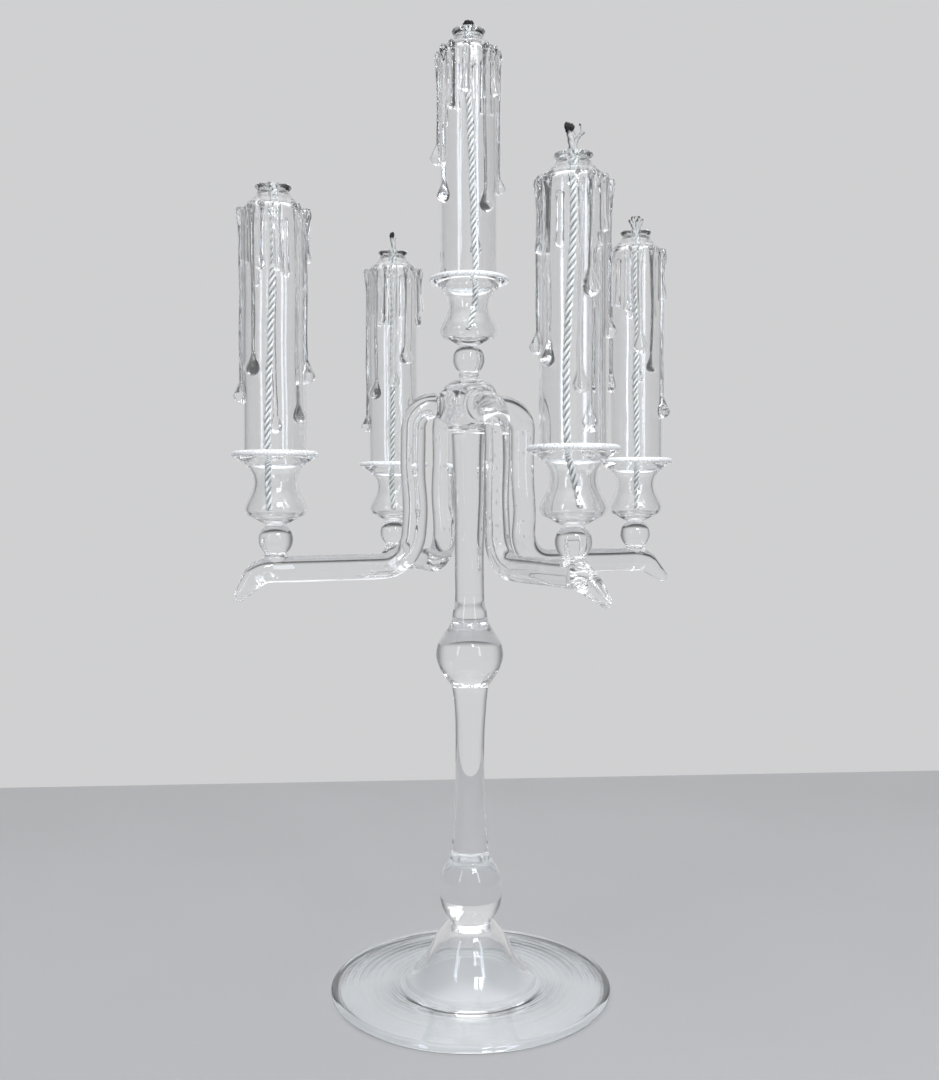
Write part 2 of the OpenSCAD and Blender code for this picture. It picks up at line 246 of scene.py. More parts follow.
class Nodes:
    """Short calls for building the node tree of a new material or world."""

    def __init__(self, name, world=False):
        self.owner = (bpy.data.worlds if world else bpy.data.materials).new(name)
        self.owner.use_nodes = True
        self.tree = self.owner.node_tree
        self.tree.nodes.clear()
        self.out = self.tree.nodes.new("ShaderNodeOutput" + ("World" if world else "Material"))

    def add(self, kind, **values):
        node = self.tree.nodes.new("ShaderNode" + kind)
        for key, value in values.items():
            if key in node.inputs:
                node.inputs[key].default_value = value
            else:
                setattr(node, key, value)
        return node

    def link(self, a, b):
        self.tree.links.new(a, b)

    def noise(self, scale, detail=2.0, rough=0.5, stretch=(1, 1, 1), source=None):
        """Noise on object coordinates, or on another vector output."""
        if source is None:
            source = self.add("TexCoord").outputs["Object"]
        mapping = self.add("Mapping")
        mapping.inputs["Scale"].default_value = stretch
        self.link(source, mapping.inputs["Vector"])
        noise = self.add("TexNoise", Scale=scale, Detail=detail, Roughness=rough)
        self.link(mapping.outputs["Vector"], noise.inputs["Vector"])
        return noise.outputs["Fac"]

    def ramp(self, value, *stops):
        node = self.add("ValToRGB")
        ramp = node.color_ramp
        while len(ramp.elements) < len(stops):
            ramp.elements.new(0.5)
        for element, (place, colour) in zip(ramp.elements, stops):
            element.position = place
            element.color = (*colour, 1)
        self.link(value, node.inputs["Fac"])
        return node.outputs["Color"]

    def ranged(self, value, low, high, low_in=0.3, high_in=0.7, easing="LINEAR"):
        node = self.add("MapRange", interpolation_type=easing)
        for key, limit in (("From Min", low_in), ("From Max", high_in), ("To Min", low), ("To Max", high)):
            node.inputs[key].default_value = limit
        self.link(value, node.inputs["Value"])
        return node.outputs["Result"]

    def math(self, operation, *values):
        """One step of arithmetic on numbers or other nodes' outputs."""
        node = self.add("Math", operation=operation)
        for socket, value in zip(node.inputs, values):
            if isinstance(value, (int, float)):
                socket.default_value = value
            else:
                self.link(value, socket)
        return node.outputs["Value"]

    def multiplied(self, a, b):
        """Two colours multiplied."""
        node = self.add("Mix", data_type="RGBA", blend_type="MULTIPLY")
        node.inputs["Factor"].default_value = 1.0
        self.link(a, node.inputs[6])
        self.link(b, node.inputs[7])
        return node.outputs[2]


def glass_material(name, tint_low, tint_high, wave=0.05, wave_scale=28, fine=0.012, haze=0.012):
    """Clear hand-worked glass: a faint drifting tint, soft tool waves, fine ripples and a trace of haze."""
    n = Nodes(name)
    shader = n.add("BsdfPrincipled", IOR=1.47)
    shader.inputs["Transmission Weight"].default_value = 1.0
    n.link(n.ramp(n.noise(18, 3), (0.35, tint_low), (0.65, tint_high)), shader.inputs["Base Color"])
    n.link(n.ranged(n.noise(60, 4, 0.6), 0.0, haze, 0.45, 0.75), shader.inputs["Roughness"])
    broad = n.add("Bump", Strength=wave, Distance=0.0006)
    n.link(n.noise(wave_scale, 1.5, 0.4, (1, 1, 0.35)), broad.inputs["Height"])
    ripple = n.add("Bump", Strength=fine, Distance=0.0004)
    n.link(n.noise(240, 2, 0.5, (1, 1, 0.3)), ripple.inputs["Height"])
    n.link(broad.outputs["Normal"], ripple.inputs["Normal"])
    n.link(ripple.outputs["Normal"], shader.inputs["Normal"])
    passed = n.add("MixShader")
    n.link(n.add("LightPath").outputs["Is Shadow Ray"], passed.inputs["Fac"])
    n.link(shader.outputs["BSDF"], passed.inputs[1])
    n.link(n.add("BsdfTransparent", Color=(0.93, 0.94, 0.94, 1)).outputs["BSDF"], passed.inputs[2])
    n.link(passed.outputs["Shader"], n.out.inputs["Surface"])
    return n.owner


def joint_material():
    """Where two pieces are fused there is no surface, so light passes straight on."""
    n = Nodes("fused_joint")
    n.link(n.add("BsdfTransparent").outputs["BSDF"], n.out.inputs["Surface"])
    return n.owner


def wick_material():
    """Twisted glass fibre: off-white yarns with fine filaments, painted shade darkening the grooves between
    them, charred at the lit end.
    """
    n = Nodes("glass_fibre_wick")
    shader = n.add("BsdfPrincipled", Roughness=0.62)
    shader.inputs["Specular IOR Level"].default_value = 0.35
    uv = n.add("UVMap", uv_map="yarn").outputs["UV"]
    fibre = n.noise(1.0, 4, 0.65, (26, 3.0, 1), uv)
    patch = n.noise(0.5, 3, 0.6, (1.5, 0.9, 1), uv)
    clean = n.ramp(fibre, (0.3, (0.44, 0.44, 0.435)), (0.5, (0.68, 0.68, 0.67)), (0.75, (0.90, 0.90, 0.89)))
    parts = n.add("SeparateXYZ")
    n.link(uv, parts.inputs[0])
    groove = n.math("PINGPONG", parts.outputs[0], 0.5)
    # painted shade: the colour darkens from the middle of each yarn to the groove beside it, where shade
    # falls
    painted_groove_shade = n.ramp(groove, (0.18, (1, 1, 1)), (0.38, (0.62, 0.62, 0.62)), (0.49, (0.14, 0.14, 0.14)))
    soaked = n.ramp(patch, (0.35, (0.82, 0.82, 0.81)), (0.65, (1.0, 1.0, 1.0)))
    char = n.add("Attribute", attribute_name="char").outputs["Fac"]
    burnt = n.ramp(n.math("MULTIPLY_ADD", patch, 0.7, char),
                   (0.55, (1, 1, 1)), (0.78, (0.42, 0.38, 0.34)), (1.0, (0.05, 0.047, 0.045)))
    colour = n.multiplied(n.multiplied(n.multiplied(clean, painted_groove_shade), soaked), burnt)
    n.link(colour, shader.inputs["Base Color"])
    bump = n.add("Bump", Strength=0.7, Distance=0.00025)
    n.link(fibre, bump.inputs["Height"])
    n.link(bump.outputs["Normal"], shader.inputs["Normal"])
    n.link(shader.outputs["BSDF"], n.out.inputs["Surface"])
    return n.owner


def rim_material():
    """The pan's rim: glass left rough by the tool, with bright specks that are partly painted highlight:
    white, less clear glass standing in for glints of overhead light.
    """
    n = Nodes("rim_glass")
    shader = n.add("BsdfPrincipled", IOR=1.47)
    # frosted glass and painted highlight: where this noise is high the rim turns white, rough and less
    # clear, standing in for glints
    frost_and_glint_specks = n.noise(900, 3, 0.6)
    n.link(n.ramp(frost_and_glint_specks, (0.35, (0.88, 0.89, 0.90)), (0.6, (1.0, 1.0, 1.0))), shader.inputs["Base Color"])
    n.link(n.ranged(frost_and_glint_specks, 0.55, 0.05, 0.36, 0.56), shader.inputs["Transmission Weight"])
    n.link(n.ranged(frost_and_glint_specks, 0.12, 0.5), shader.inputs["Roughness"])
    bump = n.add("Bump", Strength=0.5, Distance=0.0002)
    n.link(n.noise(500, 2, 0.5), bump.inputs["Height"])
    n.link(bump.outputs["Normal"], shader.inputs["Normal"])
    n.link(shader.outputs["BSDF"], n.out.inputs["Surface"])
    return n.owner


GLASS = glass_material("clear_glass", (0.985, 0.992, 0.992), (0.998, 1.0, 1.0))
ROD_GLASS = glass_material("rod_glass", (0.98, 0.988, 0.99), (0.997, 1.0, 1.0),
                           wave=0.09, wave_scale=22, fine=0.015, haze=0.004)
TUBE_GLASS = glass_material("tube_glass", (0.988, 0.994, 0.996), (1.0, 1.0, 1.0),
                            wave=0.02, wave_scale=16, fine=0.004, haze=0.003)
HOLDER_GLASS = glass_material("holder_glass", (0.95, 0.965, 0.965), (0.985, 0.992, 0.99),
                              wave=0.12, wave_scale=60, fine=0.02, haze=0.22)
FUSED = joint_material()
WICK = wick_material()
RIM_GLASS = rim_material()
CUP_GLASS = glass_material("cup_glass", (0.982, 0.99, 0.99), (0.998, 1.0, 1.0),
                           wave=0.06, wave_scale=40, fine=0.012, haze=0.006)
DRIP_GLASS = glass_material("drip_glass", (0.985, 0.992, 0.992), (0.998, 1.0, 1.0),
                            wave=0.07, wave_scale=90, fine=0.01, haze=0.004)

# ---------------- where the lights stand


def light_at(place):
    """Axis, pan height and seat height of one light, in metres."""
    low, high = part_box("candle_" + place)
    return (low.x + high.x) / 2, (low.y + high.y) / 2, low.z, high.z


LIGHTS = {place: light_at(place) for place in PLACES}
TURN = {place: 90.0 * i for i, place in enumerate(ARM_PLACES)}


def placed(points_mm, x=0.0, y=0.0, z=0.0):
    """Millimetre points moved to a place in metres."""
    return np.asarray(points_mm, float) * MM + np.array([x, y, z])


# ---------------- wicks (the cords)

WICK_D = 4.6
HOLDER_T = 3.4
STRANDS = 3
TWIST_LENGTH = 13.5
ROPE_SIDES = 42
YARN_SIDES = 14
# How far each whole rope stands above its holder, before it frays
ROPE_ABOVE = {"right": 2.5, "back": 3, "left": 1, "front": 3.5, "center": 2}
CHAR_LENGTH = {"right": 0.5, "back": 0.5, "left": 1.5, "front": 0.5, "center": 4}
# The routes of part.scad: X and Y from the candle's axis, and Z from the neck. All start straight down.
ROUTE_TOP = [(0, 0, 0), (0, 0, -14), (0, 0, -26), (0, 0, -38)]
WICK_ROUTES = {
    "right": [(1, 0, -52), (1, -1, -66), (0, -1, -80), (0, -1, -94), (0, 0, -108), (1, 0, -122),
              (1, 0, -136), (1, -1, -150), (0, -2, -164), (0, -2, -178), (1, -1, -192)],
    "back": [(0, 1, -52), (0, 1, -66), (0, 2, -80), (0, 2, -94), (0, 2, -108), (0, 2, -122),
             (0, 3, -136), (0, 3, -150), (-1, 2, -164), (-1, 1, -178), (0, 0, -192)],
    "left": [(-1, 0, -52), (-1, 1, -66), (-2, 1, -80), (-2, 1, -94), (-3, 2, -108), (-3, 2, -122),
             (-4, 2, -136), (-4, 2, -150), (-4, 1, -164), (-4, 1, -178), (-3, 2, -192)],
    "front": [(-1, 0, -52), (-2, 0, -66), (-3, 0, -80), (-3, 1, -94), (-4, 1, -108), (-4, 1, -122),
              (-4, 1, -136), (-4, 0, -150), (-2, 0, -164), (1, -1, -178), (4, -1, -190)],
    "center": [(1, 0, -52), (1, -1, -66), (2, -1, -80), (2, -1, -94), (3, -1, -108), (3, -1, -122),
               (4, -1, -136), (4, -2, -150), (4, -2, -164), (3, -1, -178), (-1, 0, -190)],
}


def add_yarn_uv(mesh, uv, quads, turn):
    """Stores the rope's own coordinates, around and along, for its fibre pattern. turn is once around."""
    layer = mesh.uv_layers.new(name="yarn")
    index = np.zeros(len(mesh.loops), np.int32)
    mesh.loops.foreach_get("vertex_index", index)
    loops = uv[index]
    around = loops[:4 * quads, 0].reshape(-1, 4)
    around = around + turn * (around < around.max(1, keepdims=True) - turn / 2)
    loops[:4 * quads, 0] = around.ravel()
    layer.data.foreach_set("uv", loops.astype(np.float32).ravel())


def add_char(mesh, char):
    """Stores how burnt each point is, from 0 to 1."""
    layer = mesh.attributes.new("char", "FLOAT", "POINT")
    layer.data.foreach_set("value", np.asarray(char, np.float32))


def rope_radii(along, sides):
    """Radius of the rope at each point and side: round yarns with deep grooves, wound round each other."""
    t = circle(sides)
    sector = 2 * math.pi / STRANDS
    phase = (t[None, :] - 2 * math.pi * along[:, None] / TWIST_LENGTH + sector / 2) % sector - sector / 2
    offset, yarn = WICK_D * 0.262, WICK_D * 0.238
    inside = np.clip(yarn ** 2 - (offset * np.sin(phase)) ** 2, 0.01, None)
    radius = offset * np.cos(phase) + np.sqrt(inside)
    radius *= (1 + 0.03 * np.sin(0.31 * along + 1.3))[:, None]
    ends = np.clip(np.minimum(along, along[-1] - along) / 1.2, 0, 1)
    return radius * (0.55 + 0.45 * np.sqrt(ends * (2 - ends)))[:, None]


# Frayed yarns above the holder, point by point: across the view, towards the camera, up, radius and
# how burnt, from 0 to 1
FRAYS = {
    "front": [
        [(-0.5, 0, 0, 1.9, 0), (-1, 0.2, 5, 1.8, 0), (-1.9, 0.1, 10, 1.7, 0.1), (-2.6, 0, 13, 1.4, 0.7)],
        [(-2.2, 0, 11.5, 1.1, 0.6), (-2.9, 0.2, 13.4, 1.6, 0.9), (-2.6, 0.3, 15.2, 1.5, 1),
         (-3.3, 0.1, 17, 0.8, 1)],
        [(-1.6, 0.5, 12.5, 0.8, 0.7), (-0.9, 0.6, 14.4, 1.4, 1), (-1.5, 0.5, 16.6, 0.6, 1)],
        [(-3.4, 0.6, 13, 0.8, 0.9), (-4.1, 0.9, 15.2, 1.1, 1), (-3.9, 0.7, 17.4, 0.5, 1)],
        [(0.4, -0.4, 0, 1.4, 0), (0.7, -0.3, 4, 1.35, 0), (1.6, 0, 7.8, 1.15, 0),
         (3.7, 0.4, 10.4, 0.8, 0.1), (6.2, 0.6, 11.6, 0.45, 0.5)],
        [(2.6, 0.2, 9.6, 0.6, 0), (4.2, 0.3, 12.2, 0.45, 0.1), (3.9, 0.5, 15, 0.4, 0.3),
         (3.2, 0.4, 16.4, 0.55, 1)],
        [(-1.7, 0.4, 13.5, 0.35, 0.8), (-0.2, 0.6, 13, 0.3, 0.3), (1.2, 0.4, 10.2, 0.25, 0)],
    ],
    "center": [
        [(0.2, 0, 0, 1.7, 0.4), (0.2, 0.1, 1.6, 2.5, 0.8), (0, 0, 3.2, 2.9, 1), (-0.5, 0.2, 5.2, 2.6, 1),
         (-0.8, 0.1, 6.9, 1.1, 1)],
        [(1, 0.8, 1, 1, 0.6), (1.9, 1.2, 2.8, 1.5, 1), (2, 1, 5.2, 1.4, 1), (1.4, 0.9, 6.4, 0.6, 1)],
        [(-1.5, 0.9, 0.8, 0.9, 0.5), (-2.4, 1.2, 2.6, 1.2, 1), (-2, 1.1, 4.4, 0.5, 1)],
    ],
    "left": [
        [(0, 0, 0, 1.3, 0.1), (-0.6, 0.2, 1.1, 1, 0.3), (-1.8, 0.4, 1.9, 0.5, 0.6)],
        [(0.4, 0.2, 0, 1.2, 0.1), (1.5, 0.5, 1.2, 0.8, 0.3), (3, 0.6, 1.3, 0.4, 0.7)],
        [(-0.8, -0.4, 0, 0.9, 0), (-2.4, -0.4, 0.9, 0.6, 0.1), (-4, -0.2, 0.8, 0.35, 0.3)],
        [(0.2, 0.8, 0, 0.8, 0), (0.6, 1.4, 1.4, 0.6, 0.3), (0.2, 2.2, 2, 0.3, 0.9)],
    ],
    "back": [
        [(0.2, 0, 0, 1.7, 0), (0.6, 0.1, 4, 1.5, 0), (-0.3, 0.2, 8, 1.4, 0.05),
         (-1, 0.1, 11.5, 1.2, 0.5)],
        [(-0.9, 0.1, 10, 1.1, 0.6), (-0.6, 0.2, 13, 1.7, 1), (0.5, 0.2, 15.2, 0.6, 1)],
        [(0.6, 0.3, 3, 0.7, 0), (1.7, 0.5, 7.5, 0.5, 0.1), (2.1, 0.4, 11, 0.3, 0.5)],
    ],
    "right": [
        [(0, 0, 0, 1.5, 0), (-1.3, 0.2, 3.5, 1.4, 0), (-3, 0.4, 6.6, 1.2, 0),
         (-4.9, 0.5, 8.6, 0.8, 0.75)],
        [(0, 0.2, 0, 1.4, 0), (-0.8, 0.5, 4.5, 1.3, 0), (-1.7, 0.8, 8, 1.2, 0),
         (-2.9, 0.8, 10.8, 0.8, 0.8)],
        [(0.2, -0.1, 0, 1.5, 0), (0.2, 0, 5, 1.4, 0), (0.1, 0.2, 8.5, 1.2, 0),
         (-0.6, 0.3, 11.3, 0.8, 0.5)],
        [(0.3, 0.3, 0, 1.4, 0), (1.2, 0.6, 4, 1.3, 0), (1.9, 0.8, 8, 1.2, 0.05),
         (2.2, 0.7, 11.2, 0.75, 0.85)],
        [(0.5, 0, 0, 1.3, 0), (2.2, 0.2, 3.2, 1.2, 0), (3.6, 0.3, 6.6, 1.1, 0.05),
         (4.9, 0.2, 9.4, 0.7, 0.7)],
        [(0.2, 0.9, 0, 1.3, 0), (0.7, 1.3, 3.2, 1.2, 0), (0.6, 1.5, 6.6, 1, 0.3),
         (1.2, 1.6, 8.9, 0.6, 0.95)],
    ],
}


def loose_yarn(rows, number, axes):
    """Points in millimetres, faces, pattern coordinates and char of one frayed yarn."""
    rows = np.array(rows, float)
    curve = smooth(np.column_stack([rows[:, :3] @ axes, rows[:, 3:]]), 14)
    line, r, dark = curve[:, :3], curve[:, 3], curve[:, 4]
    t = circle(YARN_SIDES)[None, :]
    step = np.arange(len(line))[:, None]
    lumps = 1 + 0.10 * np.sin(3 * t + 0.55 * step) + 0.26 * dark[:, None] * np.sin(
        4 * t - 0.9 * step + number) * np.sin(0.7 * step + number)
    end = np.clip(np.minimum(step, len(line) - 1 - step) / 3, 0, 1)
    points, faces = swept(line, r[:, None] * lumps * (0.35 + 0.65 * np.sqrt(end)), YARN_SIDES)
    uv = np.stack(np.broadcast_arrays(t / 3, step * 0.08 + number), axis=-1).reshape(-1, 2)
    return points, faces, with_caps(uv), with_caps(np.repeat(dark, YARN_SIDES))


def make_fray(place, x, y, z):
    """The loose, charred yarn ends above one holder."""
    across = np.array([-math.sin(CAMERA_AZIMUTH), math.cos(CAMERA_AZIMUTH), 0])
    near = np.array([math.cos(CAMERA_AZIMUTH), math.sin(CAMERA_AZIMUTH), 0])
    axes = np.array([across, near, [0, 0, 1]])
    points, faces, uv, char = [], [], [], []
    for number, rows in enumerate(FRAYS[place]):
        first = sum(len(p) for p in points)
        yarn = loose_yarn(rows, number, axes)
        points.append(yarn[0])
        faces += [[i + first for i in face] for face in yarn[1]]
        uv.append(yarn[2])
        char.append(yarn[3])
    fray = new_piece("wick_end_" + place, placed(np.vstack(points), x, y, z), faces, [WICK],
                     sharp=180, wobble=False)
    add_yarn_uv(fray.data, np.vstack(uv), 0, 1.0)
    add_char(fray.data, np.concatenate(char))
    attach(fray, "wick_" + place)
    return fray


def make_rope(place, line, along):
    """The twisted rope of one wick; line and along are in millimetres."""
    x, y, _, seat = LIGHTS[place]
    points, faces = swept(line, rope_radii(along, ROPE_SIDES), ROPE_SIDES)
    rope = new_piece("wick_rope_" + place, placed(points, x, y, seat), faces, [WICK],
                     sharp=180, wobble=False)
    t = np.arange(ROPE_SIDES) / ROPE_SIDES
    uv = np.stack(np.broadcast_arrays(STRANDS * (t[None, :] - along[:, None] / TWIST_LENGTH),
                                      along[:, None] / 6.0), axis=-1).reshape(-1, 2)
    add_yarn_uv(rope.data, with_caps(uv), (len(line) - 1) * ROPE_SIDES, STRANDS)
    char = np.clip(1 - along / CHAR_LENGTH[place], 0, 1)
    add_char(rope.data, with_caps(np.repeat(char, ROPE_SIDES)))
    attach(rope, "wick_" + place)
    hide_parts("wick_" + place)
    return rope


def make_wick(place):
    """The rope through one light, from its lit tip down to the cup's floor, with its frayed end."""
    x, y, _, seat = LIGHTS[place]
    route = [(0, 0, HOLDER_T + ROPE_ABOVE[place])] + ROUTE_TOP + WICK_ROUTES[place]
    line, along = evenly(smooth(route, 10), 0.5)
    rope = make_rope(place, line, along)
    tip = make_fray(place, x, y, seat + HOLDER_T * MM)


for light in PLACES:
    make_wick(light)

# ---------------- the turned pieces of the stem

ROD_MATERIALS = [ROD_GLASS, FUSED]


def on_stand(piece, node):
    """Fixes a glass piece to the stand, in the place of its CAD node."""
    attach(piece, "stand")
    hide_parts(node)
    return piece


def stand_piece(node, points, faces, materials, slots, sharp):
    """A new glass piece of the stand, named after its CAD node."""
    return on_stand(new_piece("glass_" + node, points, faces, materials, slots, sharp), node)


def stem_piece(name, side):
    """A solid turned piece whose two flat ends are fused to its neighbours."""
    low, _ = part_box(name)
    height = side[-1][1]
    outline = joined([[0, side[0][1]]], side, [[0, height]])
    points, faces, slots = lathe(outline, 128, fused=(0, len(outline) - 2))
    return stand_piece(name, placed(points, z=low.z), faces, ROD_MATERIALS, slots, 60)


# How deep the tool's turning rings are, in millimetres
RING_DEPTH = 0.0012


def make_foot():
    """The wide foot: rolled rim, faint tool rings on its disc and a hollow cone up to the lower knop."""
    rim_at, rim_r = 90.0, 2.5
    cone = smooth([[44, 6.6], [39, 11], [32.5, 18.6], [26.5, 28.6], [21, 38.7], [17, 43.5], [14.2, 46.5]])
    inside = smooth([[46, 3.4], [38, 6.6], [30.5, 14.5], [24, 25], [18, 34], [11, 39.5], [0, 41]])
    inside[-1][0] = 0
    r = np.arange(88.4, 44.6, -0.35)
    level = np.interp(r, [44, 89], [6.6, 4.6])
    rings = np.sin(r * 2.9) + np.sin(r * 4.3 + 1) + 0.8 * np.sin(r * 1.27 + 2)
    rings *= np.clip((86 - r) / 8, 0, 1) * np.clip((r - 45) / 4, 0, 1)
    disc = np.column_stack([r, level + RING_DEPTH * rings])
    under_r = np.arange(46.4, 87.2, 0.8)
    under_z = np.interp(under_r, [46, 87.7], [3.4, 1.8]) + RING_DEPTH * np.sin(under_r * 2.3)
    under = np.column_stack([under_r, under_z])
    outline = joined([[0, 46.5]], cone[::-1], disc, arc((rim_at, rim_r), rim_r, 112, -62, 22),
                     [[rim_at + 1.2, 0], [rim_at - 1.2, 0]], arc((rim_at, rim_r), rim_r, 242, 204, 4),
                     under[::-1], inside)
    points, faces, slots = lathe(outline, 200, fused=(0,))
    faces = [f[::-1] for f in faces]
    stand_piece("foot", placed(points), faces, [GLASS, FUSED], slots, 50)


def make_stem():
    """The two knops and the two flared rods, fused end to end."""
    r, h = 20.75, 41.5
    stem_piece("lower_knop", smooth([
        [14.2, 0], [14.8, 1], [r * 0.93, h * 0.22], [r, h * 0.48], [r * 0.94, h * 0.74],
        [r * 0.78, h * 0.91], [13.6, h - 0.8], [13.3, h]]))
    r, h = 9.6, 115
    stem_piece("lower_stem", smooth([
        [13.3, 0], [12.4, 5], [r + 1.4, 20], [r + 0.5, 36], [r, 52], [r, 76],
        [r + 0.4, 92], [r + 1.4, 105], [12.0, h - 2], [12.7, h]]))
    r, h = 22.2, 41
    stem_piece("middle_knop", smooth([
        [12.7, 0], [13.5, 1.2], [r * 0.83, h * 0.2], [r * 0.97, h * 0.38], [r, h * 0.52],
        [r * 0.93, h * 0.68], [r * 0.77, h * 0.82], [r * 0.64, h * 0.93], [12.7, h]]))
    r, h = 9.6, 126
    stem_piece("upper_stem", smooth([
        [12.7, 0], [12.0, 2], [11.3, 8], [r + 0.4, 15], [r, 24], [r + 0.1, 48],
        [r + 0.5, 80], [r + 1.2, 102], [r + 2, 120], [12.2, h]]))


# ---------------- crown and arms

ARM_R = 8.25
ROOT_REACH = 22.0
ROOT_Z = 386.0
LEG_REACH = 40.0
RUN_Z = 283.0
ARM_REACH = 131.0
UPPER_BEND_R = 15.0
LOWER_BEND_R = 21.0
TAIL_REACH = 133.0
TAIL_BEND_R = 16.0
TAIL_TIP_R = 3.7
ARM_STEP = 0.8
ARM_SIDES = 144
# Roll about the run, droop and length of each arm's tail
TAILS = {"right": (0, 38, 15), "back": (0, 44, 13), "left": (0, 50, 12), "front": (26, 48, 13)}


def turned(points, degrees):
    """Points turned about the stem's axis."""
    a = math.radians(degrees)
    c, s = math.cos(a), math.sin(a)
    return np.asarray(points) @ np.array([[c, s, 0], [-s, c, 0], [0, 0, 1]])


def boolean(obj, other, operation):
    """obj with an exact boolean applied; other is removed."""
    modifier = obj.modifiers.new("cut", "BOOLEAN")
    modifier.operation = operation
    modifier.solver = "EXACT"
    modifier.object = other
    graph = bpy.context.evaluated_depsgraph_get()
    mesh = bpy.data.meshes.new_from_object(obj.evaluated_get(graph))
    obj.modifiers.clear()
    old = obj.data
    obj.data = mesh
    bpy.data.meshes.remove(old)
    bpy.data.objects.remove(other)


def face_places(mesh):
    """Middle points and normals of a mesh's faces."""
    middle = np.zeros(len(mesh.polygons) * 3, np.float32)
    normal = np.zeros(len(mesh.polygons) * 3, np.float32)
    mesh.polygons.foreach_get("center", middle)
    mesh.polygons.foreach_get("normal", normal)
    return middle.reshape(-1, 3), normal.reshape(-1, 3)


def make_crown():
    """The bell-shaped hub with four flared stubs, one to each arm."""
    low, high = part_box("crown")
    r, h = 18.5, 37.5
    side = smooth([[12.2, 0], [13.0, 0.3], [14.2, 2.2], [r * 0.87, 9], [r * 0.97, 16], [r, 22],
                   [r * 0.9, h - 9], [r * 0.66, h - 5.5], [7.4, h - 3], [6.4, h]])
    points, faces, _ = lathe(joined([[0, 0]], side, [[0, h]]), 144)
    crown = new_piece("glass_crown", placed(points, z=low.z), faces, ROD_MATERIALS, None, 60, wobble=False)
    stub_side = smooth([
        [11.6, 8], [12.2, 14], [11.4, 17.2], [9.9, 19.2], [8.8, 20.8], [ARM_R, ROOT_REACH]], 5)
    for place in ARM_PLACES:
        p, f, _ = lathe(joined([[0, 8]], stub_side, [[0, ROOT_REACH]]), 72)
        p = turned(np.column_stack([p[:, 2], p[:, 0], p[:, 1]]), TURN[place])
        stub = new_piece("stub", placed(p, z=ROOT_Z * MM), f, [ROD_GLASS], None, 60, wobble=False)
        boolean(crown, stub, "UNION")
    mesh = crown.data
    middle, normal = face_places(mesh)
    reach = np.maximum(np.abs(middle[:, 0]), np.abs(middle[:, 1]))
    outward = np.maximum(np.abs(normal[:, 0]), np.abs(normal[:, 1]))
    fused = (reach > (ROOT_REACH - 0.02) * MM) & (outward > 0.98)
    at_end = (middle[:, 2] < low.z + NEAR) | (middle[:, 2] > high.z - NEAR)
    fused |= (np.abs(normal[:, 2]) > 0.98) & at_end
    finish_fused(crown, fused, 60)
    on_stand(crown, "crown")


def finish_fused(obj, fused, sharp):
    """Sets a cut piece's joint faces, shading and wobble."""
    mesh = obj.data
    if len(mesh.materials) < 2:
        mesh.materials.append(FUSED)
    mesh.polygons.foreach_set("material_index", np.asarray(fused, np.int32))
    co = np.zeros(len(mesh.vertices) * 3, np.float32)
    mesh.vertices.foreach_get("co", co)
    mesh.vertices.foreach_set("co", wobbled(co.reshape(-1, 3)).astype(np.float32).ravel())
    mesh.update()
    mesh.shade_smooth()
    mesh.set_sharp_from_angle(angle=math.radians(sharp))


def bend(centre, radius, start, end, steps=120):
    """Points of a bend in the arm's X-Z plane, angles in degrees."""
    t = np.radians(np.linspace(start, end, steps + 1))
    x, z = centre[0] + radius * np.cos(t), centre[1] + radius * np.sin(t)
    return np.column_stack([x, np.zeros(len(t)), z])


def arm_line(tail):
    """Centreline of an arm along +X, in millimetres."""
    roll, droop, length = tail
    leg_top = ROOT_Z - UPPER_BEND_R
    leg_foot = RUN_Z + LOWER_BEND_R
    main = np.vstack([
        [[ROOT_REACH, 0, ROOT_Z]],
        bend((LEG_REACH - UPPER_BEND_R, leg_top), UPPER_BEND_R, 90, 0),
        bend((LEG_REACH + LOWER_BEND_R, leg_foot), LOWER_BEND_R, 180, 270),
        [[TAIL_REACH, 0, RUN_Z]],
    ])
    t = np.radians(np.linspace(0, droop, 61))[1:]
    fall = np.column_stack([TAIL_BEND_R * np.sin(t), np.zeros(len(t)), -TAIL_BEND_R * (1 - np.cos(t))])
    way = np.array([math.cos(t[-1]), 0, -math.sin(t[-1])])
    fall = np.vstack([fall, fall[-1] + way * length])
    a = math.radians(roll)
    fall = np.column_stack([fall[:, 0], -fall[:, 2] * math.sin(a), fall[:, 2] * math.cos(a)])
    return np.vstack([main, fall + [TAIL_REACH, 0, RUN_Z]])


def arm_radii(along, length, phase):
    """Rod radius along the arm: a little slimmer in the leg, full in the run, tapering in the tail."""
    r = ARM_R + 0.16 * np.sin(along / 17 + phase) + 0.1 * np.sin(along / 7.3 + 2 * phase)
    leg = np.exp(-((along - 60) / 34) ** 2)
    r = r - 0.42 * leg
    start = np.clip(along / 4, 0, 1)
    r = ARM_R + (r - ARM_R) * start
    left = along[-1] - along
    taper = np.interp(left, [0, length * 0.3, length * 0.7, length + 2, length + 12],
                      [TAIL_TIP_R / ARM_R, 0.60, 0.74, 0.90, 1.0])
    return np.minimum(r, ARM_R) * taper


BUBBLES = 16
BUBBLE_RINGS = 7
BUBBLE_SIDES = 8


